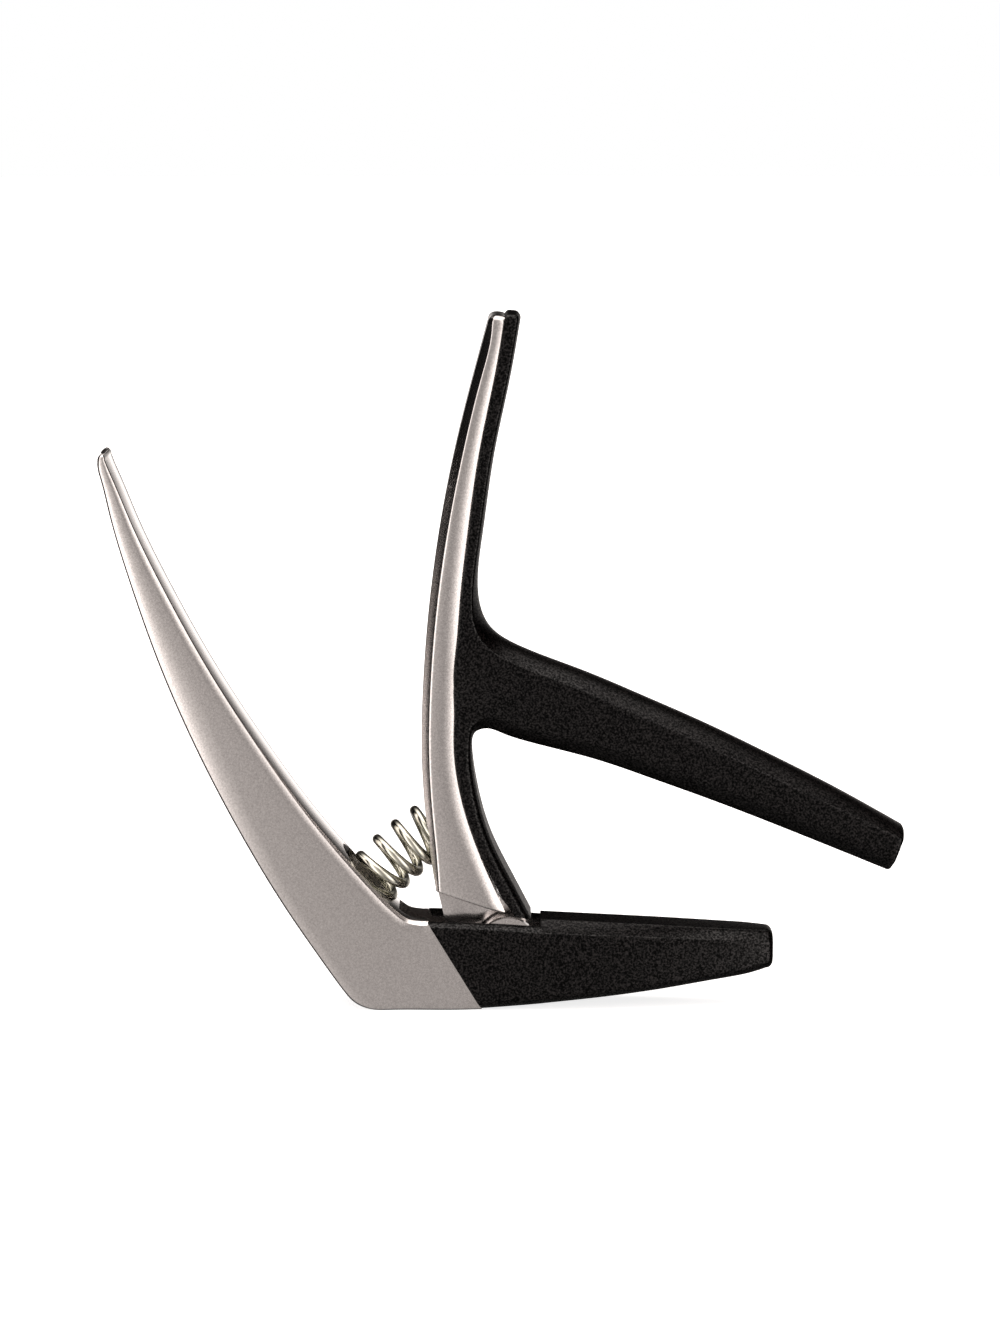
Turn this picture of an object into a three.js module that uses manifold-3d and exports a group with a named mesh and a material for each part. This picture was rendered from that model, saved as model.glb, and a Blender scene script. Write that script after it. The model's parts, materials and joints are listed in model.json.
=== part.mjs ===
// Squeeze-to-open spring capo for a guitar. Lengths are in millimetres.
// X runs along the jaws, Y through the thickness and Z up. The origin is the middle of the
// neck pad's crest. The body stands on its heel, with its jaw to the right and its handle up
// to the left. The lever turns in the body's channel and carries the string bar.

import * as THREE from 'three';
import { mergeVertices } from 'three/addons/utils/BufferGeometryUtils.js';
import Module from 'manifold-3d';

const wasm = await Module();
wasm.setup();

// Driving dimensions
const CASTING_WIDTH = 9.4; // both castings, through Y
const CORE_WIDTH = 8.2; // the body inside the neck pad
const CHANNEL_WIDTH = 5.8; // slot between the body's cheeks
const TONGUE_WIDTH = 5.4; // lever foot and string bar core
const PAD_WIDTH = 10.4; // neck pad at the hinge
const PAD_END_WIDTH = 6.2; // neck pad at its free end
const BAR_WIDTH = 9.6; // string bar
const STRIP_WIDTH = 9.2; // rubber strip along the lever
const FIT_GAP = 0.15; // between a rubber moulding and the metal in it
const PIVOT = { x: -18.3, z: -2.8 };
const PIN_RADIUS = 1.5;
const PIN_FIT = 0.05; // radial gap in the body's cheeks
const PIN_RUNNING = 0.09; // radial gap in the lever's hub
const HUB_RADIUS = 3.5;
const CHEEK_RADIUS = 3.9;
const HEEL_Z = -10.7;
const PAD_SLOPE = THREE.MathUtils.degToRad(3.1); // the pad's crest falls towards its free end

// Softened edges: how far they cut into the outline and into the thickness
const CASTING_EDGE = { inset: 0.4, depth: 0.7 };
const RUBBER_EDGE = { inset: 0.3, depth: 0.4 };

// Crowned faces: a flat land with sides that round over by the corner's height
const PAD_CROWN = { width: PAD_WIDTH, land: 5.2, corner: 1.1, depth: 14 };
const BAR_CROWN = { width: BAR_WIDTH, land: 1.2, corner: 1.9, depth: 20 };
const STRING_CROWN = { width: BAR_WIDTH + 0.6, land: 6.4, corner: 2.4, depth: 20 };

// The spring bends round an arc between the floors of two blind pockets.
const SPRING = {
  wire: 1.3,
  radius: 3.2, // to the wire's centre
  turns: 6.6,
  closed: 0.75, // turns laid close together at each end
  seat: { x: -38.75, z: 2.25 }, // floor of the body's pocket
  crown: { x: -26.5, z: 13.5 }, // floor of the lever's pocket
  bend: THREE.MathUtils.degToRad(16),
};
const POCKET_RADIUS = 4.15;
const POCKET_REACH = 14; // cutting length, past the mouth

const CURVE_STEPS = 3; // straight pieces between two points of a curved outline

// Outlines: each stretch is a list of [x, z] points, straight if it has two, else a smooth curve.
const SPLIT_TOP = [-28.8, 0.1]; // the casting steps down to the pad along this line
const SPLIT_FOOT = [-21.6, -10.35];

const BODY_OUTLINE = [
  [[-69.4, 59.4], [-68.4, 54.2], [-66.2, 46.6], [-63, 36.6], [-58.9, 26.5], [-54.1, 16.3],
    [-48.4, 6.1], [-41.7, -4.2], [-38.3, -8.7]],
  [[-38.3, -8.7], [-36.9, -10.1], [-34.6, HEEL_Z]],
  [[-34.6, HEEL_Z], [-25.6, HEEL_Z]],
  [[-25.6, HEEL_Z], SPLIT_FOOT],
  [SPLIT_FOOT, SPLIT_TOP],
  [SPLIT_TOP, [-30.4, 0.15], [-31.9, 0.95], [-34.4, 3.4], [-38.2, 7.55], [-42.6, 13],
    [-48.8, 21.7], [-54.2, 30.3], [-59.2, 39.2], [-64.1, 49.5], [-67.2, 58.6]],
  [[-67.2, 58.6], [-67.8, 60.2], [-68.5, 60.75], [-69.1, 60.4], [-69.4, 59.4]],
];

const CORE_OUTLINE = [
  [[-30.5, -0.1], [-22.7, -0.3]],
  [[-22.7, -0.3], [-14.2, -0.9]],
  [[-14.2, -0.9], [11, -2.5]],
  [[11, -2.5], [12, -3.2], [11.4, -4.6]],
  [[11.4, -4.6], [3.4, -6.3], [-6.7, -7.9], [-16.8, -8.95], [-24, -9.3]],
  [[-24, -9.3], [-30.5, -9.3]],
];
const CORE_PLAN = [
  [[-32, -CORE_WIDTH / 2 - 1], [-13, -CORE_WIDTH / 2 - 1]],
  [[-13, -CORE_WIDTH / 2], [2, -3.4], [10, -2.5], [12.4, -1]],
  [[12.4, -1], [12.4, 1]],
  [[12.4, 1], [10, 2.5], [2, 3.4], [-13, CORE_WIDTH / 2]],
  [[-13, CORE_WIDTH / 2 + 1], [-32, CORE_WIDTH / 2 + 1]],
];

const CHANNEL_OUTLINE = [
  [[-32.1, 9], [-32.1, -1.2]],
  [[-30.6, -3.4], [-23.6, -3.9]],
  [[-22.4, -6.9], [-14.4, -6.9]],
  [[-14.4, 9], [-32.1, 9]],
];

const PAD_OUTLINE = [
  [[SPLIT_TOP[0] + FIT_GAP, SPLIT_TOP[1]], [-22.7, -0.1], [-14.9, -0.65]],
  [[-14.9, -0.65], [-14.25, 4]],
  [[16, 4], [15.2, -3.4]],
  [[15.2, -3.4], [14.8, -4.7], [13.6, -5.7]],
  [[13.6, -5.7], [8.4, -6.75], [-1.7, -8.25], [-11.8, -9.5], [-16.8, -10],
    [SPLIT_FOOT[0] + FIT_GAP, SPLIT_FOOT[1]]],
];
const PAD_OPENING = [
  [[-32, -3], [-14.25, -3]],
  [[-14.25, 9], [-32, 9]],
];
const PAD_PLAN = [
  [[-32, -PAD_WIDTH / 2], [-14, -PAD_WIDTH / 2]],
  [[-14, -PAD_WIDTH / 2], [2, -PAD_WIDTH / 2 + 0.7], [13.4, -PAD_END_WIDTH / 2]],
  [[13.4, -PAD_END_WIDTH / 2], [15.2, 0], [13.4, PAD_END_WIDTH / 2]],
  [[13.4, PAD_END_WIDTH / 2], [2, PAD_WIDTH / 2 - 0.7], [-14, PAD_WIDTH / 2]],
  [[-14, PAD_WIDTH / 2], [-32, PAD_WIDTH / 2]],
];

const LEVER_RIGHT = [[-18.3, 1.95], [-20.5, 6.1], [-22.05, 9.9], [-24.1, 16.3], [-25, 22.7],
  [-25.1, 29], [-24.8, 35.3], [-24.2, 41.6], [-22.8, 54.1], [-21.1, 63.7], [-18.4, 76.9]];
const LEVER_OUTLINE = [
  [[-20.8, 77.1], [-22.3, 71.5], [-24.7, 61.6], [-26.7, 51.6], [-28.1, 41.5], [-28.9, 31.4],
    [-29.2, 22], [-28.7, 15.5], [-27.8, 9], [-27.2, 4.9]],
  [[-27.2, 4.9], [-26.3, 4.2], [-22.5, 3.2], LEVER_RIGHT[0]],
  LEVER_RIGHT,
  [[-18.4, 76.9], [-18.9, 77.5], [-20.2, 77.6], [-20.8, 77.1]],
];

const FOOT_OUTLINE = [
  [[-27, 6.4], [-27.3, 4.3]],
  [[-26.35, 0.25], [-22, -0.4]],
  [[-21.2, -3.6], [-15.4, -2]],
  [[-15.7, 0.75], [-18.6, 1.75]],
  [[-21.5, 6.4], [-27, 6.4]],
];

const BAR_CORE_OUTLINE = [
  [[-25.6, 38], [-21, 33.9], [-16, 31.6], [-1.4, 25.6], [14.6, 18.4], [25.6, 12.8]],
  [[25.6, 12.8], [26, 11.8], [25.2, 11.2]],
  [[25.2, 11.2], [12.9, 16.9], [-1.7, 22.1], [-16.8, 27.1], [-25.8, 28.8]],
];

const STRIP_OUTLINE = [
  [[-18.5, 2.1], [-15.1, 1.05]],
  [[-15.1, 1.05], [-15.6, 2.2]],
  [[-15.6, 2.2], [-18, 5.9], [-20.6, 11], [-22.2, 16.2], [-23.1, 21.5], [-23.2, 28], [-23, 36],
    [-22.3, 43], [-21.2, 53.7], [-19.6, 63.8], [-17.5, 73.8], [-17.2, 76.6]],
  [[-17.2, 76.6], [-17.6, 77.2]],
  [[-18.5, 77.2], [-22.3, 60], [-25.2, 40], [-25.8, 25], [-24.6, 14], [-18.5, 2.1]],
];

// The string face is arched to suit a 300 mm fretboard radius, with a short flat middle.
const STRING_FLAT = [[6.5, 16.6], [-0.5, 19.15]];
const STRING_FACE_LINE = [[34.6, 4.9], [28.4, 7.6], [18, 12.1], ...STRING_FLAT, [-8, 21.7],
  [-18.6, 24.9], [-31, 28.6]];
const CREST_LINE = [[-22.8, 47], [-22.6, 44.2], [-21.7, 40.2], [-20.3, 37.6], [-16.9, 35],
  [-9.5, 31.8], [-1.4, 28.5], [6.6, 25], [14.6, 21.1], [22.7, 17], [29.2, 13.4], [34.6, 10]];
// Larger than the bar, whose crest and string face are cut by the two lines above
const BAR_BLANK = [
  [[-27, 46], [-19, 46]],
  [[-12, 37], [31.9, 15]],
  [[31.9, 12.2], [29.3, 6.4]],
  [[-10, 17.5], [-27, 21]],
];

const materials = {
  silverPaint: new THREE.MeshStandardMaterial({ color: 0xa8a19d, roughness: 0.36, metalness: 0.85 }),
  rubber: new THREE.MeshStandardMaterial({ color: 0x161413, roughness: 0.62, metalness: 0 }),
  steel: new THREE.MeshStandardMaterial({ color: 0xb9bab8, roughness: 0.28, metalness: 1 }),
  nickel: new THREE.MeshStandardMaterial({ color: 0xc6c3b0, roughness: 0.16, metalness: 1 }),
};

// A closed outline; the end of one stretch is joined to the start of the next
function shapeOf(stretches) {
  const points = stretches.flatMap((stretch) => {
    const ends = stretch.map(([x, z]) => new THREE.Vector2(x, z));
    if (ends.length === 2) return ends;
    return new THREE.SplineCurve(ends).getPoints(CURVE_STEPS * (ends.length - 1));
  });
  const isNew = (point, i) => point.distanceTo(points[(i + 1) % points.length]) > 1e-6;
  return new THREE.Shape(points.filter(isNew));
}

// A closed geometry as a manifold solid, ready to be joined and cut
function solid(geometry) {
  const bare = geometry.clone();
  bare.deleteAttribute('normal');
  bare.deleteAttribute('uv');
  const merged = mergeVertices(bare, 1e-4);
  return new wasm.Manifold(new wasm.Mesh({
    numProp: 3,
    vertProperties: new Float32Array(merged.attributes.position.array),
    triVerts: new Uint32Array(merged.index.array),
  }));
}

// An outline of the XZ plane as a plate centred on Y, with softened edges or grown all round
function plate(stretches, width, { inset = 0, depth = 0, grow = 0 } = {}) {
  const flat = width - 2 * depth;
  const geometry = new THREE.ExtrudeGeometry(shapeOf(stretches), {
    depth: flat,
    bevelEnabled: true,
    bevelSize: inset,
    bevelOffset: grow - inset,
    bevelThickness: depth,
    bevelSegments: inset > 0 ? 2 : 0,
  });
  geometry.translate(0, 0, -flat / 2);
  geometry.rotateX(Math.PI / 2);
  return solid(geometry);
}

// A block with a crowned face, swept along a line of the XZ plane. The face looks to the left
// of the line's direction, so a line that runs towards +X has its face on top.
function crowned(line, { width, land, corner, depth }) {
  const half = width / 2;
  const flat = land / 2;
  const section = new THREE.Shape();
  section.moveTo(-flat, 0);
  section.lineTo(flat, 0);
  section.bezierCurveTo(flat + (half - flat) * 0.6, 0, half, corner * 0.4, half, corner);
  section.lineTo(half, depth);
  section.lineTo(-half, depth);
  section.lineTo(-half, corner);
  section.bezierCurveTo(-half, corner * 0.4, -flat - (half - flat) * 0.6, 0, -flat, 0);
  return solid(new THREE.ExtrudeGeometry(section, {
    steps: line.length === 2 ? 1 : CURVE_STEPS * (line.length - 1),
    curveSegments: 3,
    extrudePath: new THREE.CatmullRomCurve3(line.map(([x, z]) => new THREE.Vector3(x, 0, z))),
  }));
}

// An outline of the XY plane as an upright block that passes the whole jaw
function planBlock(stretches, grow = 0) {
  const geometry = new THREE.ExtrudeGeometry(shapeOf(stretches), {
    depth: 30,
    bevelEnabled: true,
    bevelSize: 0,
    bevelOffset: grow,
    bevelThickness: 0,
    bevelSegments: 0,
  });
  geometry.translate(0, 0, -20);
  return solid(geometry);
}

// A round bar across the thickness, centred on the pivot
function pivotBar(radius, width) {
  const geometry = new THREE.CylinderGeometry(radius, radius, width, 32);
  geometry.translate(PIVOT.x, 0, PIVOT.z);
  return solid(geometry);
}

// A round cutter that starts at a pocket's floor and runs out of its mouth
function pocketCutter(floor, angle) {
  const geometry = new THREE.CylinderGeometry(POCKET_RADIUS, POCKET_RADIUS, POCKET_REACH, 40);
  geometry.rotateZ(Math.PI / 2);
  geometry.translate(POCKET_REACH / 2, 0, 0);
  geometry.rotateY(-angle);
  geometry.translate(floor.x, 0, floor.z);
  return solid(geometry);
}

function meshOf(name, manifold, material) {
  const { vertProperties, triVerts } = manifold.getMesh();
  const geometry = new THREE.BufferGeometry();
  geometry.setAttribute('position', new THREE.BufferAttribute(vertProperties, 3));
  geometry.setIndex(new THREE.BufferAttribute(triVerts, 1));
  geometry.computeVertexNormals();
  const mesh = new THREE.Mesh(geometry, material);
  mesh.name = name;
  return mesh;
}

const chord = new THREE.Vector2(SPRING.crown.x - SPRING.seat.x, SPRING.crown.z - SPRING.seat.z);
const seatAngle = chord.angle() + SPRING.bend / 2;
const crownAngle = chord.angle() - SPRING.bend / 2;

// The wire's centre line: a helix about an arc from the body's pocket floor to the lever's
class SpringCurve extends THREE.Curve {
  getPoint(t, target = new THREE.Vector3()) {
    const { wire, radius, turns, closed, bend, seat } = SPRING;
    const arcRadius = chord.length() / (2 * Math.sin(bend / 2));
    const floorGap = wire * 0.6;
    const openTurns = turns - 2 * closed;
    const openPitch = (arcRadius * bend - 2 * floorGap - 2 * closed * wire) / openTurns;
    const turn = t * turns;
    const opened = THREE.MathUtils.clamp(turn - closed, 0, openTurns);
    const along = floorGap + (turn - opened) * wire + opened * openPitch;
    const angle = seatAngle - along / arcRadius;
    const x = seat.x + arcRadius * (Math.sin(seatAngle) - Math.sin(angle));
    const z = seat.z + arcRadius * (Math.cos(angle) - Math.cos(seatAngle));
    const phase = 2 * Math.PI * turn;
    const out = radius * Math.cos(phase);
    return target.set(x - out * Math.sin(angle), -radius * Math.sin(phase), z + out * Math.cos(angle));
  }
}

function returnSpring() {
  const section = new THREE.Shape();
  section.absarc(0, 0, SPRING.wire / 2, 0, 2 * Math.PI);
  return solid(new THREE.ExtrudeGeometry(section, {
    steps: Math.round(SPRING.turns * 16),
    curveSegments: 4,
    extrudePath: new SpringCurve(),
  }));
}

function bodyCasting() {
  return plate(BODY_OUTLINE, CASTING_WIDTH, CASTING_EDGE)
    .add(plate(CORE_OUTLINE, CORE_WIDTH).intersect(planBlock(CORE_PLAN)))
    .add(pivotBar(CHEEK_RADIUS, CORE_WIDTH))
    .subtract(plate(CHANNEL_OUTLINE, CHANNEL_WIDTH))
    .subtract(pivotBar(PIN_RADIUS + PIN_FIT, CASTING_WIDTH))
    .subtract(pocketCutter(SPRING.seat, seatAngle));
}

function leverCasting() {
  return plate(LEVER_OUTLINE, CASTING_WIDTH, CASTING_EDGE)
    .add(plate(FOOT_OUTLINE, TONGUE_WIDTH))
    .add(plate(BAR_CORE_OUTLINE, TONGUE_WIDTH))
    .add(pivotBar(HUB_RADIUS, TONGUE_WIDTH))
    .subtract(pivotBar(PIN_RADIUS + PIN_RUNNING, CASTING_WIDTH))
    .subtract(pocketCutter(SPRING.crown, crownAngle + Math.PI));
}

function neckPad() {
  const onCrest = (x) => [x, -x * Math.tan(PAD_SLOPE)];
  const core = plate(CORE_OUTLINE, CORE_WIDTH + 2 * FIT_GAP, { grow: FIT_GAP });
  return plate(PAD_OUTLINE, PAD_WIDTH, RUBBER_EDGE)
    .intersect(planBlock(PAD_PLAN))
    .intersect(crowned([onCrest(-40), onCrest(30)], PAD_CROWN))
    .subtract(core.intersect(planBlock(CORE_PLAN, FIT_GAP)))
    .subtract(plate(PAD_OPENING, CORE_WIDTH + 2 * FIT_GAP));
}

function stringBarCover() {
  const bar = plate(BAR_BLANK, BAR_WIDTH + 2)
    .intersect(crowned(CREST_LINE, BAR_CROWN))
    .intersect(crowned(STRING_FACE_LINE, STRING_CROWN));
  return plate(STRIP_OUTLINE, STRIP_WIDTH, RUBBER_EDGE)
    .add(bar)
    .subtract(plate(LEVER_OUTLINE, BAR_WIDTH + 2, { grow: FIT_GAP }))
    .subtract(plate(FOOT_OUTLINE, TONGUE_WIDTH + 2 * FIT_GAP, { grow: FIT_GAP }))
    .subtract(plate(BAR_CORE_OUTLINE, TONGUE_WIDTH + 2 * FIT_GAP, { grow: FIT_GAP }));
}

const group = new THREE.Group();
group.add(meshOf('body_casting', bodyCasting(), materials.silverPaint));
group.add(meshOf('neck_pad', neckPad(), materials.rubber));
group.add(meshOf('lever_casting', leverCasting(), materials.silverPaint));
group.add(meshOf('string_bar_cover', stringBarCover(), materials.rubber));
group.add(meshOf('hinge_pin', pivotBar(PIN_RADIUS, CORE_WIDTH), materials.steel));
group.add(meshOf('return_spring', returnSpring(), materials.nickel));

export default group;
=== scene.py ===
"""Looks of the guitar capo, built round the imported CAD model.

The shapes' lengths are millimetres in the part's frame; MM turns them into metres. The camera's
distances, the floor and the materials are in metres.
"""

import json
import math

import bmesh
import bpy
import numpy as np
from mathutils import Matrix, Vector


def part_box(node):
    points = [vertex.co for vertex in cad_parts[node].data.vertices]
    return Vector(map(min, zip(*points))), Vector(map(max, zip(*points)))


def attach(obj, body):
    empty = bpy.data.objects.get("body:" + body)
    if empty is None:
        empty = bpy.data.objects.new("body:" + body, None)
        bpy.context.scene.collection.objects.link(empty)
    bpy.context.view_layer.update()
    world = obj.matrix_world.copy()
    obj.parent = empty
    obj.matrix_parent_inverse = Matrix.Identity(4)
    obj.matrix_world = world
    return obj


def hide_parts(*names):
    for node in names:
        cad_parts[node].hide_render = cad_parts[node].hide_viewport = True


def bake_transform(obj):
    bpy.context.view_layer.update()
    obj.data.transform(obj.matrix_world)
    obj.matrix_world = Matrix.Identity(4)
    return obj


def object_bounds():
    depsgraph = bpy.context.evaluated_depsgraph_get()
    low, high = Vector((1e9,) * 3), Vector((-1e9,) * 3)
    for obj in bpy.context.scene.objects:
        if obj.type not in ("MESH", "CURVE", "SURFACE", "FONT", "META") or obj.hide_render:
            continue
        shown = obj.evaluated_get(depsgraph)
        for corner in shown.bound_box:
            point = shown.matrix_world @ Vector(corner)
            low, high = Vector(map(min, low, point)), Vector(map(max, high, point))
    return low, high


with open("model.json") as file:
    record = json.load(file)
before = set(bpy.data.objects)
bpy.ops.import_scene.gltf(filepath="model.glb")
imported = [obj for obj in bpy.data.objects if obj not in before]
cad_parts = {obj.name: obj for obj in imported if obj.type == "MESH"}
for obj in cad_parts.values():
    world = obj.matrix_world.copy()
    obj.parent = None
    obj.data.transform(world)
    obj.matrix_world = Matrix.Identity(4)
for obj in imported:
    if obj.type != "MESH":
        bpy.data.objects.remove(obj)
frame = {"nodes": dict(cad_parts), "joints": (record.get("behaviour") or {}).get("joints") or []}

cad_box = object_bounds()

MM = 0.001
STEPS = 10  # pieces between two stations of a loft
HEEL_STEPS = 6
CORNER_STEPS = 4  # pieces round a section's corner
CAP_STEPS = 5  # pieces from a rounded end's rim to its middle
SMOOTH_ANGLE = math.radians(28)

PIVOT = tuple(c / MM for c in frame["joints"][0]["pos_m"])
HEEL_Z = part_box("body_casting")[0].z

HALF_CASTING = 4.7  # half widths, through Y
HALF_TONGUE = 2.7
HALF_COVER = 4.8
HALF_PAD = 5.2
HALF_CHANNEL = 2.9
HALF_CORE = 4.1
CORE_CLEARANCE = 0.1  # between the jaw's core and the neck pad
FACE_INSET = 0.004  # keeps the two solids of the cover from sharing a plane

BOSS_RADIUS = 3.9
HUB_RADIUS = 3.5
POCKET_RADIUS = 4.0
POCKET_DEPTH = 14  # long enough to leave the casting
POCKET_MOUTH = (-0.9, 1.1)  # the body's pocket is widened this way (x, z)

SEAT = (-38.24, 1.7)  # the spring's ends in the body and in the lever
CROWN = (-26.0, 12.95)
SPRING_BEND = math.radians(27)  # between the two pockets
SPRING_FAN = math.radians(40)  # between the first and last coil
SPRING_TURNS = 6.5
SPRING_CLOSED = 0.75  # turns at each end that lie close together
SPRING_PHASE = -0.29
WIRE = 1.3
COIL_RADIUS = 3.2
CHORD = np.array(CROWN) - np.array(SEAT)
CHORD_ANGLE = math.atan2(CHORD[1], CHORD[0])


# ---------------------------------------------------------------- camera

CAMERA_ELEVATION = math.radians(8.5)
CAMERA_DISTANCE = 0.5345
CAMERA_LENS = 115.7
CAMERA_SIDE = -0.0005  # how far the aim lies from the middle of the object


def add_camera():
    """Level with the jaws, from the front and a little above."""
    middle = (cad_box[0] + cad_box[1]) / 2
    target = Vector((middle.x + CAMERA_SIDE, 0, middle.z))
    back = Vector((0, -math.cos(CAMERA_ELEVATION), math.sin(CAMERA_ELEVATION)))
    camera = bpy.data.cameras.new("camera")
    camera.lens = CAMERA_LENS
    camera.sensor_width = 36
    camera.clip_start = 0.01
    camera.clip_end = 50
    holder = bpy.data.objects.new("camera", camera)
    holder.location = target + back * CAMERA_DISTANCE
    holder.rotation_mode = "QUATERNION"
    holder.rotation_quaternion = (-back).to_track_quat("-Z", "Y")
    bpy.context.scene.collection.objects.link(holder)
    bpy.context.scene.camera = holder


# ---------------------------------------------------------------- shapes

def trace(rows, steps):
    """A natural cubic spline through rows of numbers, with steps samples between two rows."""
    rows = np.array(rows, float)
    n = len(rows)
    gap = np.linalg.norm(np.diff(rows, axis=0), axis=1)
    matrix = np.eye(n)
    right = np.zeros_like(rows)
    for i in range(1, n - 1):
        matrix[i, i - 1:i + 2] = gap[i - 1], 2 * (gap[i - 1] + gap[i]), gap[i]
        slopes = (rows[i + 1] - rows[i]) / gap[i] - (rows[i] - rows[i - 1]) / gap[i - 1]
        right[i] = 6 * slopes
    bend = np.linalg.solve(matrix, right)
    out = []
    for i in range(n - 1):
        h = gap[i]
        for s in np.arange(steps) / steps:
            a, b = (1 - s) * h, s * h
            out.append(
                (bend[i] * a ** 3 + bend[i + 1] * b ** 3) / (6 * h)
                + (rows[i] / h - bend[i] * h / 6) * a
                + (rows[i + 1] / h - bend[i + 1] * h / 6) * b
            )
    return np.array(out + [rows[-1]])


def rounded(corners):
    """A closed outline from corners (u, v, radius), each rounded with an arc. A corner with no
    radius stays one point."""
    points = []
    count = len(corners)
    for i, (u, v, radius) in enumerate(corners):
        here = np.array((u, v))
        if not radius:
            points.append(here)
            continue
        before = np.array(corners[i - 1][:2]) - here
        after = np.array(corners[(i + 1) % count][:2]) - here
        la, lb = np.linalg.norm(before), np.linalg.norm(after)
        before, after = before / la, after / lb
        half = math.acos(max(-1, min(1, float(before @ after)))) / 2
        reach = min(radius / math.tan(half), 0.48 * la, 0.48 * lb)
        start, end = here + before * reach, here + after * reach
        for s in np.linspace(0, 1, CORNER_STEPS + 1):
            points.append((1 - s) ** 2 * start + 2 * s * (1 - s) * here + s * s * end)
    return np.array(points)


def mesh_object(name, vertices, faces):
    """A mesh from points in metres, with neighbouring faces turned the same way."""
    mesh = bpy.data.meshes.new(name)
    mesh.from_pydata([tuple(v) for v in vertices], [], faces)
    piece = bpy.data.objects.new(name, mesh)
    bpy.context.scene.collection.objects.link(piece)
    work = bmesh.new()
    work.from_mesh(mesh)
    bmesh.ops.remove_doubles(work, verts=work.verts, dist=1e-7)
    bmesh.ops.recalc_face_normals(work, faces=work.faces)
    work.to_mesh(mesh)
    work.free()
    return piece


def tube_faces(rings, size):
    """The faces of a body whose vertices are rings of size points: its side and its two ends."""
    faces = []
    for start in range(0, (rings - 1) * size, size):
        for i in range(size):
            j = (i + 1) % size
            faces.append((start + i, start + j, start + size + j, start + size + i))
    faces.append(tuple(range(size)))
    faces.append(tuple(range((rings - 1) * size, rings * size)))
    return faces


def cap_steps():
    """How far in and how far out each ring of a rounded end lies, for a radius of 1."""
    turns = [math.pi / 2 * k / CAP_STEPS for k in range(1, CAP_STEPS + 1)]
    return [(1 - math.cos(turn), math.sin(turn)) for turn in turns]


def domed(ring, inner, radius):
    """The rings that round off a loft beyond its last ring. inner is the ring before that one."""
    origin, across, span, section = ring
    inner_origin, inner_across, inner_span, _ = inner
    outward = np.array((-across[1], across[0]))
    middle = origin + across * span / 2
    inner_middle = inner_origin + inner_across * inner_span / 2
    if outward @ (middle - inner_middle) <= 0:
        outward = -outward
    half = section[:, 1].max()
    made = []
    for inset, rise in cap_steps():
        shrunk = section.copy()
        shrunk[:, 0] = span / 2 + (section[:, 0] - span / 2) * (1 - 2 * inset * radius / span)
        shrunk[:, 1] *= 1 - inset * radius / half
        made.append((origin + outward * rise * radius, across, span, shrunk))
    return made


def loft(name, rows, profile, round_start=0, round_end=0, steps=STEPS):
    """A closed body through stations. A row is (xa, za, xb, zb, ...): the station's two edges in
    the XZ plane and any sizes that profile needs. profile(span, *sizes) gives the corners of
    the section, u running from edge a to edge b and v through the thickness."""
    rings = []
    for row in trace(rows, steps):
        edge_a, edge_b = row[0:2], row[2:4]
        span = np.linalg.norm(edge_b - edge_a)
        rings.append((edge_a, (edge_b - edge_a) / span, span, profile(span, *row[4:])))
    if round_start:
        rings = domed(rings[0], rings[1], round_start)[::-1] + rings
    if round_end:
        rings = rings + domed(rings[-1], rings[-2], round_end)
    vertices = []
    for origin, across, _, section in rings:
        for u, v in section:
            x, z = origin + across * u
            vertices.append((x * MM, v * MM, z * MM))
    return mesh_object(name, vertices, tube_faces(len(rings), len(rings[0][3])))


def prism(name, outline, low, high):
    """An outline of the XZ plane as a block from y = low to high."""
    vertices = [(x * MM, y * MM, z * MM) for y in (low, high) for x, z in outline]
    return mesh_object(name, vertices, tube_faces(2, len(outline)))


def wedge(name, corners):
    """A block whose thickness differs from corner to corner. A corner is (x, z, half width)."""
    vertices = [(x * MM, side * half * MM, z * MM) for side in (-1, 1) for x, z, half in corners]
    piece = mesh_object(name, vertices, tube_faces(2, len(corners)))
    work = bmesh.new()
    work.from_mesh(piece.data)
    bmesh.ops.triangulate(work, faces=work.faces)
    work.to_mesh(piece.data)
    work.free()
    return piece


def rod(name, start, direction, radius, length, sides=64):
    """A round bar from start along direction, in millimetres."""
    along = Vector(direction).normalized()
    side = along.orthogonal().normalized()
    other = along.cross(side)
    vertices = []
    for reach in (0, length):
        for k in range(sides):
            turn = 2 * math.pi * k / sides
            point = Vector(start) + along * reach
            point += (side * math.cos(turn) + other * math.sin(turn)) * radius
            vertices.append(point * MM)
    return mesh_object(name, vertices, tube_faces(2, sides))


def combine(piece, other, operation):
    """Joins (UNION) or cuts (DIFFERENCE) piece with other, which is used up."""
    modifier = piece.modifiers.new("combine", "BOOLEAN")
    modifier.operation = operation
    modifier.solver = "MANIFOLD"
    modifier.object = other
    bpy.context.view_layer.update()
    graph = bpy.context.evaluated_depsgraph_get()
    mesh = bpy.data.meshes.new_from_object(piece.evaluated_get(graph))
    piece.modifiers.clear()
    piece.data = mesh
    bpy.data.objects.remove(other)


def finish_piece(piece, material, body, node):
    """Smooth shading, material, body and the CAD node that the piece stands for."""
    mesh = piece.data
    mesh.materials.clear()
    mesh.materials.append(material)
    mesh.shade_smooth()
    mesh.set_sharp_from_angle(angle=SMOOTH_ANGLE)
    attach(piece, body)
    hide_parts(node)


# ---------------------------------------------------------------- materials

def shader(name, colour, metallic, roughness):
    material = bpy.data.materials.new(name)
    material.use_nodes = True
    tree = material.node_tree
    principled = tree.nodes["Principled BSDF"]
    principled.inputs["Base Color"].default_value = (*colour, 1)
    principled.inputs["Metallic"].default_value = metallic
    principled.inputs["Roughness"].default_value = roughness
    return material, tree, principled


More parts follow.
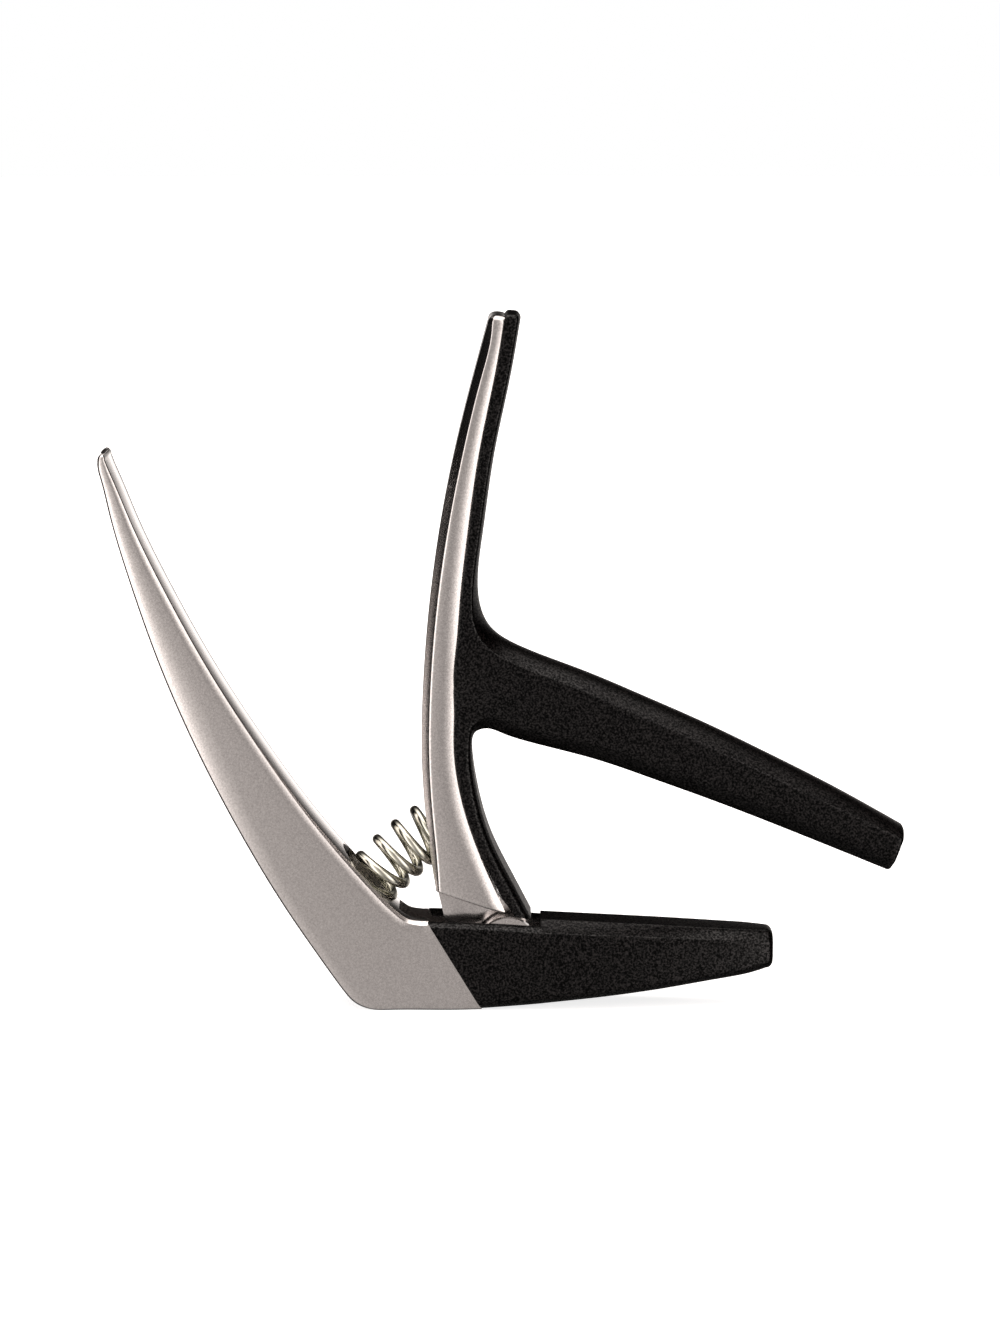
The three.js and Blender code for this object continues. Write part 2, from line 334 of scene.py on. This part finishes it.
def noise(tree, scale, detail, roughness=0.5):
    node = tree.nodes.new("ShaderNodeTexNoise")
    node.inputs["Scale"].default_value = scale
    node.inputs["Detail"].default_value = detail
    node.inputs["Roughness"].default_value = roughness
    coordinates = tree.nodes.new("ShaderNodeTexCoord")
    tree.links.new(coordinates.outputs["Object"], node.inputs["Vector"])
    return node.outputs["Fac"]


def ramp(tree, source, low, high, start, end):
    """Turns a value from low..high into a colour from start to end."""
    node = tree.nodes.new("ShaderNodeValToRGB")
    node.color_ramp.elements[0].position = low
    node.color_ramp.elements[1].position = high
    node.color_ramp.elements[0].color = (*start, 1)
    node.color_ramp.elements[1].color = (*end, 1)
    tree.links.new(source, node.inputs["Fac"])
    return node.outputs["Color"]


def vector_math(tree, operation, a, b):
    node = tree.nodes.new("ShaderNodeVectorMath")
    node.operation = operation
    tree.links.new(a, node.inputs[0])
    tree.links.new(b, node.inputs[1])
    return node.outputs["Vector"]


def bump(tree, principled, source, strength, distance):
    node = tree.nodes.new("ShaderNodeBump")
    node.inputs["Strength"].default_value = strength
    node.inputs["Distance"].default_value = distance
    tree.links.new(source, node.inputs["Height"])
    tree.links.new(node.outputs["Normal"], principled.inputs["Normal"])


def silver_paint():
    """Satin metallic paint: warm grey flakes under a thin clear coat, with a slight orange peel."""
    material, tree, principled = shader("silver_paint", (0.6, 0.575, 0.56), 1.0, 0.22)
    flakes = noise(tree, 4200, 3, 0.7)
    tint = ramp(tree, flakes, 0.3, 0.72, (0.5, 0.475, 0.465), (0.74, 0.71, 0.695))
    tree.links.new(tint, principled.inputs["Base Color"])
    bump(tree, principled, flakes, 0.12, 0.00008)
    principled.inputs["Coat Weight"].default_value = 1.0
    principled.inputs["Coat Roughness"].default_value = 0.05
    return material


def black_rubber():
    """Moulded rubber with a fine spark-eroded grain that varies its tint and gloss; its gloss is also
    faded by the viewing angle where it is seen edge on, a painted shade on its grazing reflections.
    """
    material, tree, principled = shader("black_rubber", (0.003, 0.002, 0.002), 0.0, 0.32)
    grain = noise(tree, 4000, 2, 0.65)
    tint = ramp(tree, grain, 0.48, 0.68, (0, 0, 0), (0.008, 0.0055, 0.0055))
    tree.links.new(tint, principled.inputs["Base Color"])
    gloss = ramp(tree, grain, 0.42, 0.64, (0.05, 0.05, 0.05), (0.42, 0.42, 0.42))
    # Painted shade: the gloss is cut where the surface is seen edge on, by the viewing angle and not
    # by the grain.
    slant = tree.nodes.new("ShaderNodeLayerWeight")
    slant.inputs["Blend"].default_value = 0.5
    painted_edge_shade = ramp(tree, slant.outputs["Facing"], 0.3, 0.8, (1, 1, 1), (0.06, 0.06, 0.06))
    level = vector_math(tree, "MULTIPLY", gloss, painted_edge_shade)
    tree.links.new(level, principled.inputs["Specular IOR Level"])
    bump(tree, principled, grain, 0.2, 0.00006)
    return material


def bare_metal(name, colour, roughness, scale, dark, light):
    """Plain metal whose tint varies a little, as drawn or ground metal does."""
    material, tree, principled = shader(name, colour, 1.0, roughness)
    tint = ramp(tree, noise(tree, scale, 2), 0.3, 0.7, dark, light)
    tree.links.new(tint, principled.inputs["Base Color"])
    return material


# ---------------------------------------------------------------- body

# Body stations end with the slope of the outer shoulder and the size of the inner chamfer.
BODY_STATIONS = [
    (-69.3, 59.35, -68.35, 59.2, 0.27, 0.12),
    (-69.33, 58.4, -67.95, 58.15, 0.27, 0.12),
    (-68.98, 56.8, -67.25, 56.5, 0.27, 0.12),
    (-67.95, 52.4, -65.3, 51.7, 0.27, 0.12),
    (-65.55, 43.9, -61.3, 43.2, 0.27, 0.12),
    (-61.8, 32.9, -55.9, 33.2, 0.28, 0.12),
    (-56.8, 21.3, -49.75, 23.45, 0.26, 0.15),
    (-51.2, 10.5, -43.1, 14.1, 0.19, 0.25),
    (-46.2, 2.1, -38.0, 8.0, 0.13, 0.35),
    (-41.2, -5.3, -34.0, 3.6, 0.1, 0.4),
]
HEEL_STATIONS = [
    (-41.2, -5.3, -34.0, 3.6, 0.1, 0.4),
    (-39.0, -8.35, -32.7, 2.35, 0.09, 0.42),
    (-37.5, -9.85, -31.6, 1.45, 0.08, 0.45),
    (-35.4, -10.62, -30.7, 0.95, 0.08, 0.45),
    (-33.2, -10.66, -29.8, 0.78, 0.08, 0.45),
    (-25.6, -10.66, -28.9, 0.72, 0.08, 0.45),
    (-21.6, -10.55, -28.4, 0.72, 0.08, 0.45),
]
# Core stations run from the core's underside to its top and end with its half width.
CORE_STATIONS = [
    (-30.2, -9.3, -30.2, -0.1, HALF_CORE),
    (-22.7, -9.15, -22.7, -0.3, HALF_CORE),
    (-14.2, -8.7, -14.2, -0.9, HALF_CORE),
    (-6.7, -7.9, -6.7, -1.35, 3.9),
    (3.4, -6.3, 3.4, -2.0, 3.3),
    (11.0, -4.8, 11.0, -2.6, 2.3),
]
CHANNEL_OUTLINE = [
    (-32.1, 9), (-32.1, -1.2), (-31.6, -2.6), (-30.6, -3.4), (-23.6, -3.9), (-22.4, -6.9),
    (-14.4, -6.9), (-14.4, 9),
]


def shoulder(width, slope, half, start):
    """Points of a face that curves away from y = -half towards its edge at u = start; a positive
    width runs inwards from there."""
    drop = abs(slope * width / 2)
    return [(start + width * t, -half + drop * (1 - t) ** 2, 0) for t in np.linspace(0, 1, 8)]


def mirrored(near, between):
    """A closed section from its near side, and its inner face between the two sides."""
    return rounded(near + between + [(u, -v, r) for u, v, r in near[::-1]])


def casting_section(span, slope, edge):
    """Body: a wide soft shoulder on the outer edge, a narrower one and a chamfer on the inner
    edge, and a slightly crowned inner face."""
    half, rim, corner = HALF_CASTING, 0.25, 0.12
    outer_width = min(0.9 + 28 * slope ** 2, 0.5 * span)
    inner_width, inner_slope = min(1.15, 0.3 * span), 0.36
    outer = shoulder(outer_width, slope, half, rim)
    inner = shoulder(-inner_width, inner_slope, half, span - edge)[::-1]
    near = [(0, outer[0][1] + 0.35, corner)] + outer + inner
    near.append((span, inner[-1][1] + edge * 1.1, corner))
    crown = 0.3
    face = [(span + crown * (1 - t * t), t * half, 0) for t in (-0.7, -0.45, -0.2, 0.2, 0.45, 0.7)]
    return mirrored(near, face)


def core_section(span, half):
    edge = 0.4
    return rounded([(0, -half, edge), (span, -half, edge), (span, half, edge), (0, half, edge)])


def cross_rod(name, radius, half):
    """A round bar across the part at the pivot."""
    return rod(name, (PIVOT[0], -half, PIVOT[2]), (0, 1, 0), radius, 2 * half)


def pocket(x, z, angle):
    """The bore that a spring's end sits in, opening along angle."""
    along = (math.cos(angle), 0, math.sin(angle))
    return rod("pocket", (x, 0, z), along, POCKET_RADIUS, POCKET_DEPTH)


def make_body():
    body = loft("body_shell", BODY_STATIONS, casting_section, round_start=0.7)
    combine(body, loft("heel", HEEL_STATIONS, casting_section, steps=HEEL_STEPS), "UNION")
    combine(body, loft("core", CORE_STATIONS, core_section), "UNION")
    combine(body, cross_rod("boss", BOSS_RADIUS, HALF_CORE), "UNION")
    combine(body, prism("channel", CHANNEL_OUTLINE, -HALF_CHANNEL, HALF_CHANNEL), "DIFFERENCE")
    seat_angle = CHORD_ANGLE + SPRING_BEND / 2
    for dx, dz in ((0, 0), POCKET_MOUTH):
        combine(body, pocket(SEAT[0] + dx, SEAT[1] + dz, seat_angle), "DIFFERENCE")
    finish_piece(body, paint, "body", "body_casting")


# ---------------------------------------------------------------- lever

# Lever stations end with the size of the chamfer along the back.
LEVER_STATIONS = [
    (-20.85, 76.25, -18.4, 76.1, 0.6),
    (-21.3, 74.6, -18.8, 74.4, 0.9),
    (-22.55, 70.0, -19.85, 69.6, 1.05),
    (-24.95, 60.4, -21.75, 60.0, 1.1),
    (-26.9, 50.4, -23.1, 50.2, 1.1),
    (-28.25, 40.4, -24.1, 40.2, 1.05),
    (-29.0, 30.4, -24.5, 30.2, 1.0),
    (-29.15, 21.4, -24.5, 21.6, 1.0),
    (-28.75, 15.0, -23.6, 15.3, 0.95),
    (-28.1, 9.2, -21.5, 8.8, 0.85),
    (-27.4, 4.9, -18.7, 2.0, 0.45),
]
# The foot in the channel: a flat facet and one that falls back towards the hub. (x, z, half)
FOOT_LEFT = [
    (-27.0, 6.4, HALF_TONGUE), (-27.15, 4.3, HALF_TONGUE), (-26.25, 0.4, 2.45), (-26.0, 0.1, 2.45),
    (-23.1, -0.2, 2.45), (-24.9, 3.6, HALF_TONGUE), (-25.8, 6.4, HALF_TONGUE),
]
FOOT_RIGHT = [
    (-25.8, 6.4, HALF_TONGUE), (-24.9, 3.6, HALF_TONGUE), (-23.1, -0.2, 2.45), (-22.0, -3.6, 1.0),
    (-15.8, -0.6, 1.3), (-16.4, 1.5, 2.0), (-18.6, 2.6, 2.3), (-21.5, 6.4, HALF_TONGUE),
]


def lever_section(span, chamfer):
    """Lever: a plain chamfer along the back, a soft shoulder beside the rubber strip."""
    half = HALF_CASTING
    width, slope = min(2.2, 0.85 * (span - chamfer)), 0.39
    inner = shoulder(-width, slope, half, span)[::-1]
    near = [(0, -(half - chamfer), 0.3), (chamfer, -half, 0.7)] + inner
    return mirrored(near, [])


def make_lever():
    lever = loft("lever_shell", LEVER_STATIONS, lever_section, round_start=0.95, round_end=0.3)
    combine(lever, wedge("foot", FOOT_LEFT), "UNION")
    combine(lever, wedge("foot_slope", FOOT_RIGHT), "UNION")
    combine(lever, cross_rod("hub", HUB_RADIUS, HALF_TONGUE), "UNION")
    crown_angle = CHORD_ANGLE - SPRING_BEND / 2 + math.pi
    combine(lever, pocket(*CROWN, crown_angle), "DIFFERENCE")
    finish_piece(lever, paint, "lever", "lever_casting")


# ---------------------------------------------------------------- neck pad

# The neck pad's stations run from its underside to its top and end with its half width.
SLEEVE_STATIONS = [
    (-21.65, -10.5, -28.45, 0.7, HALF_PAD),
    (-20.0, -10.38, -25.3, 0.66, HALF_PAD),
    (-17.6, -10.2, -20.8, 0.45, HALF_PAD),
    (-15.2, -10.0, -16.6, 0.2, HALF_PAD),
    (-13.9, -9.88, -13.9, 0.0, HALF_PAD),
]
JAW_STATIONS = [
    (-14.2, -9.9, -14.2, 0.77, HALF_PAD),
    (-6.0, -9.05, -6.0, 0.36, 5.0),
    (2.0, -8.0, 2.0, -0.05, 4.5),
    (8.4, -7.0, 8.4, -0.42, 3.85),
    (13.0, -6.2, 13.0, -0.69, 3.15),
    (14.4, -5.8, 14.4, -0.8, 2.85),
]
# The part of the sleeve that is open at the top, round the channel. (x, z)
OPENING_OUTLINE = [(-32, -3.2), (-14.25, -3.2), (-14.25, 6), (-32, 6)]


def pad_section(half, top):
    """A pad with rounded lower edges. top holds the near half of its upper corners."""
    return mirrored([(0, -(half - 1.0), 1.0), (0.8, -half, 1.2)] + top, [])


def sleeve_section(span, half):
    return pad_section(half, [(span - 0.75, -half, 0.5), (span, -(half - 0.75), 0.4)])


def jaw_section(span, half):
    land = min(2.6, half - 0.8)
    return pad_section(half, [(span - 1.35, -half, 0.4), (span, -land, 1.2)])


def make_neck_pad():
    pad = loft("neck_pad_moulding", SLEEVE_STATIONS, sleeve_section)
    combine(pad, loft("jaw", JAW_STATIONS, jaw_section, round_end=0.9), "UNION")
    wall = HALF_CORE + CORE_CLEARANCE
    combine(pad, prism("opening", OPENING_OUTLINE, -wall, wall), "DIFFERENCE")
    core = loft("core", CORE_STATIONS, lambda span, half: core_section(span, half + CORE_CLEARANCE))
    combine(pad, core, "DIFFERENCE")
    finish_piece(pad, rubber, "body", "neck_pad")


# ---------------------------------------------------------------- string bar cover

# Crest stations run from the lever (or the bar's middle) out to the crest; face stations run
# from there to the string face. Both end with the drop from the crest or face to its ridges.
CREST_STATIONS = [
    (-18.75, 76.7, -16.75, 76.6, 0.3),
    (-19.8, 69.7, -18.0, 69.4, 0.32),
    (-21.7, 60.1, -20.0, 59.8, 0.36),
    (-23.05, 50.45, -21.4, 50.2, 0.4),
    (-24.05, 42.0, -22.05, 42.0, 0.7),
    (-24.6, 36.0, -20.65, 37.85, 1.5),
    (-24.65, 29.5, -16.9, 35.25, 1.9),
    (-16.0, 26.0, -9.5, 32.35, 1.9),
    (-4.4, 22.7, -1.4, 28.95, 1.9),
    (4.2, 19.6, 6.6, 25.4, 1.9),
    (12.6, 16.3, 14.6, 21.5, 1.85),
    (21.2, 12.9, 22.9, 17.25, 1.6),
    (30.05, 8.95, 31.4, 12.45, 1.0),
]
FACE_STATIONS = [
    (30.73, 10.6, 29.4, 7.25, 1.4),
    (20.2, 15.6, 18.0, 11.9, 1.9),
    (8.4, 21.0, 6.5, 16.4, 2.0),
    (1.6, 23.9, -0.5, 18.95, 2.0),
    (-5.4, 26.7, -8.0, 21.5, 2.0),
    (-15.4, 30.2, -18.5, 24.4, 2.0),
    (-22.2, 32.0, -21.4, 25.2, 1.7),
    (-24.7, 31.3, -22.45, 24.75, 0.9),
    (-24.95, 28.6, -22.8, 23.8, 0.5),
    (-24.99, 23.6, -22.83, 21.6, 0.35),
    (-24.22, 17.4, -22.15, 17.0, 0.35),
    (-22.43, 11.4, -20.5, 11.2, 0.4),
    (-20.15, 6.0, -18.05, 6.1, 0.45),
    (-19.0, 3.8, -16.95, 4.0, 0.45),
    (-17.5, 1.6, -15.4, 1.0, 0.4),
]


def crest_section(span, crown):
    """Flat sides and a top that curves over between two crisp ridges."""
    half = HALF_COVER
    top = [(span - crown * abs(t) ** 2.4, half * t, 0) for t in np.linspace(-0.72, 0.72, 11)]
    return mirrored([(0, -half, 0.05), (span - crown, -half, 0.45)], top)


def face_section(span, crown):
    """Flat sides and a flat string face between two bevels."""
    half, land = HALF_COVER - FACE_INSET, 3.3
    return mirrored([(0, -half, 0.05), (span - crown, -half, 1.2), (span, -land, 0.6)], [])


def make_cover():
    cover = loft("string_bar_moulding", CREST_STATIONS, crest_section, round_start=0.6, round_end=0.5)
    combine(cover, loft("face", FACE_STATIONS, face_section, round_start=0.5), "UNION")
    finish_piece(cover, rubber, "lever", "string_bar_cover")


# ---------------------------------------------------------------- spring

def spring_point(turn):
    """The middle of the wire after a number of turns. The coil's axis is an arc from the seat to
    the crown, and the coils fan out along it."""
    radius = np.linalg.norm(CHORD) / (2 * math.sin(SPRING_BEND / 2))
    length = radius * SPRING_BEND
    floor_gap = 0.6 * WIRE
    open_turns = SPRING_TURNS - 2 * SPRING_CLOSED
    pitch = (length - 2 * floor_gap - 2 * SPRING_CLOSED * WIRE) / open_turns
    opened = min(max(turn - SPRING_CLOSED, 0), open_turns)
    along = floor_gap + (turn - opened) * WIRE + opened * pitch
    start = CHORD_ANGLE + SPRING_BEND / 2
    arc = start - along / radius
    x = SEAT[0] + radius * (math.sin(start) - math.sin(arc))
    z = SEAT[1] + radius * (math.cos(arc) - math.cos(start))
    tilt = CHORD_ANGLE + SPRING_FAN * (0.5 - along / length)
    phase = 2 * math.pi * (turn + SPRING_PHASE)
    out = COIL_RADIUS * math.cos(phase)
    y = -COIL_RADIUS * math.sin(phase)
    return np.array((x - out * math.sin(tilt), y, z + out * math.cos(tilt)))


def make_spring():
    """A round wire along spring_point, with slightly rounded ends."""
    sides, per_turn, rounding = 16, 56, 0.2
    turns = np.linspace(0, SPRING_TURNS, int(SPRING_TURNS * per_turn) + 1)
    line = np.array([spring_point(turn) for turn in turns])
    tangents = np.gradient(line, axis=0)
    places = []
    side = Vector(tangents[0]).orthogonal()
    for point, tangent in zip(line, tangents):
        along = Vector(tangent).normalized()
        side = (side - along * side.dot(along)).normalized()
        places.append((Vector(point), along, side, along.cross(side)))

    def ring(place, shift=0, inset=0):
        """The wire's outline at a place, moved along the wire and drawn in."""
        point, along, side, other = place
        spokes = [2 * math.pi * k / sides for k in range(sides)]
        radius = WIRE / 2 - inset
        centre = point + along * shift
        return [(centre + (side * math.cos(a) + other * math.sin(a)) * radius) * MM for a in spokes]

    def end(place, outward):
        """The rings that round the wire off, from its full width inwards."""
        steps = cap_steps()[:-1]
        return [ring(place, outward * rounding * rise, rounding * inset) for inset, rise in steps]

    rings = end(places[0], -1)[::-1] + [ring(place) for place in places] + end(places[-1], 1)
    vertices = [point for loop in rings for point in loop]
    spring = mesh_object("return_spring_wire", vertices, tube_faces(len(rings), sides))
    spring.data.materials.append(nickel)
    spring.data.shade_smooth()
    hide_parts("return_spring")
    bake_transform(spring)


# ---------------------------------------------------------------- studio

FRONT_LEVELS = [  # degrees from the front, left negative: brightness of the cards there
    (-180, 0), (-58, 0), (-50, 1.6), (-44, 2.8), (-35, 2.8), (-30, 1.7), (-26, 1.15), (-20, 0.85),
    (-12, 0.72), (-7, 0.67), (-5, 0.62), (-3, 0.48), (-1, 0.4), (2, 0.4), (10, 0.45), (20, 0.85),
    (30, 2.0), (38, 2.7), (46, 2.7), (52, 1.6), (60, 0), (180, 0),
]
FRONT_HEIGHTS = [  # sine of the elevation: share of that brightness
    (-1, 0.1), (-0.7, 0.3), (-0.45, 0.8), (-0.3, 1.0), (0.5, 1.0), (0.75, 0.5), (1, 0.3),
]
BACK_LEVELS = [  # the wall behind the object
    (-180, 0.05), (-177.5, 0.2), (-174, 0.9), (-166, 0.7), (-155, 0.1), (-140, 0), (120, 0),
    (142, 0.3), (150, 0.6), (157, 0.75), (163, 0.8), (167, 1.0), (171, 1.6), (174, 1.5), (176, 0.5),
    (178, 0.1), (180, 0.05),
]
BACK_HEIGHTS = [
    (-1, 0.1), (-0.5, 0.2), (-0.3, 1), (0.02, 1), (0.1, 0.35), (0.2, 0.1), (0.4, 0.02), (1, 0),
]
LOW_LEVELS = [(-1, 0.16), (-0.4, 0.06), (-0.2, 0.03), (0, 0.01), (0.16, 0.002)]  # dim floor
TOP_LEVELS = [  # soft light overhead, by sine of the elevation
    (0.55, 0), (0.7, 0.3), (0.8, 1.0), (0.88, 2.2), (0.97, 2.4), (0.995, 4.2), (1, 4.2),
]
TOP_WIDTH = [(-0.56, 0), (-0.46, 1), (0.46, 1), (0.56, 0)]  # its share from left to right
WARM = (1.0, 0.965, 0.945)


def level_ramp(tree, source, levels, low, high):
    """Brightness by a value from low to high."""
    place = tree.nodes.new("ShaderNodeMapRange")
    place.inputs["From Min"].default_value = low
    place.inputs["From Max"].default_value = high
    tree.links.new(source, place.inputs["Value"])
    node = tree.nodes.new("ShaderNodeValToRGB")
    elements = node.color_ramp.elements
    while len(elements) > 1:
        elements.remove(elements[-1])
    for i, (value, level) in enumerate(levels):
        position = (value - low) / (high - low)
        element = elements[0] if i == 0 else elements.new(position)
        element.position = position
        element.color = (*(level * c for c in WARM), 1)
    tree.links.new(place.outputs["Result"], node.inputs["Fac"])
    return node.outputs["Color"]


def add_world():
    """White to the camera. For light and reflections: cards left and right of the camera, dark
    sides, a white wall behind the object and a soft light overhead."""
    world = bpy.data.worlds.new("studio")
    bpy.context.scene.world = world
    world.use_nodes = True
    tree = world.node_tree
    tree.nodes.clear()
    coordinates = tree.nodes.new("ShaderNodeTexCoord")
    split = tree.nodes.new("ShaderNodeSeparateXYZ")
    tree.links.new(coordinates.outputs["Generated"], split.inputs["Vector"])
    forward = tree.nodes.new("ShaderNodeMath")
    forward.operation = "MULTIPLY"
    forward.inputs[1].default_value = -1
    tree.links.new(split.outputs["Y"], forward.inputs[0])
    turn = tree.nodes.new("ShaderNodeMath")
    turn.operation = "ARCTAN2"
    tree.links.new(split.outputs["X"], turn.inputs[0])
    tree.links.new(forward.outputs["Value"], turn.inputs[1])
    height = split.outputs["Z"]
    total = level_ramp(tree, height, LOW_LEVELS, -1, 1)
    top = level_ramp(tree, height, TOP_LEVELS, -1, 1)
    top = vector_math(tree, "MULTIPLY", top, level_ramp(tree, split.outputs["X"], TOP_WIDTH, -1, 1))
    total = vector_math(tree, "ADD", total, top)
    for around, heights in ((FRONT_LEVELS, FRONT_HEIGHTS), (BACK_LEVELS, BACK_HEIGHTS)):
        around = [(math.radians(degrees), level) for degrees, level in around]
        wall = level_ramp(tree, turn.outputs["Value"], around, -math.pi, math.pi)
        wall = vector_math(tree, "MULTIPLY", wall, level_ramp(tree, height, heights, -1, 1))
        total = vector_math(tree, "ADD", total, wall)
    room = tree.nodes.new("ShaderNodeBackground")
    tree.links.new(total, room.inputs["Color"])
    seen = tree.nodes.new("ShaderNodeBackground")
    seen.inputs["Color"].default_value = (1, 1, 1, 1)
    path = tree.nodes.new("ShaderNodeLightPath")
    mix = tree.nodes.new("ShaderNodeMixShader")
    output = tree.nodes.new("ShaderNodeOutputWorld")
    tree.links.new(path.outputs["Is Camera Ray"], mix.inputs["Fac"])
    tree.links.new(room.outputs["Background"], mix.inputs[1])
    tree.links.new(seen.outputs["Background"], mix.inputs[2])
    tree.links.new(mix.outputs["Shader"], output.inputs["Surface"])


def add_floor():
    """A pale round table under the heel."""
    sides, radius = 96, 3.0
    turns = [2 * math.pi * k / sides for k in range(sides)]
    rim = [(radius * math.cos(turn), radius * math.sin(turn), HEEL_Z) for turn in turns]
    floor = mesh_object("floor", rim, [tuple(range(sides))])
    material, _, principled = shader("pale_floor", (0.9, 0.9, 0.9), 0.0, 0.9)
    principled.inputs["Emission Color"].default_value = (1, 1, 1, 1)
    principled.inputs["Emission Strength"].default_value = 0.8
    principled.inputs["Specular IOR Level"].default_value = 0.0
    floor.data.materials.append(material)
    floor.visible_glossy = False
    floor.visible_diffuse = False


# ---------------------------------------------------------------- build

add_camera()
paint = silver_paint()
rubber = black_rubber()
nickel = bare_metal("nickel_wire", (0.6, 0.59, 0.51), 0.2, 400, (0.52, 0.51, 0.43), (0.7, 0.69, 0.61))
steel = bare_metal("pin_steel", (0.6, 0.6, 0.59), 0.3, 1500, (0.5, 0.5, 0.49), (0.68, 0.68, 0.67))

make_body()
make_lever()
make_neck_pad()
make_cover()
make_spring()
pin = frame["nodes"]["hinge_pin"]
pin.data.materials.clear()
pin.data.materials.append(steel)

add_world()
add_floor()
bpy.context.scene.view_settings.view_transform = "Standard"
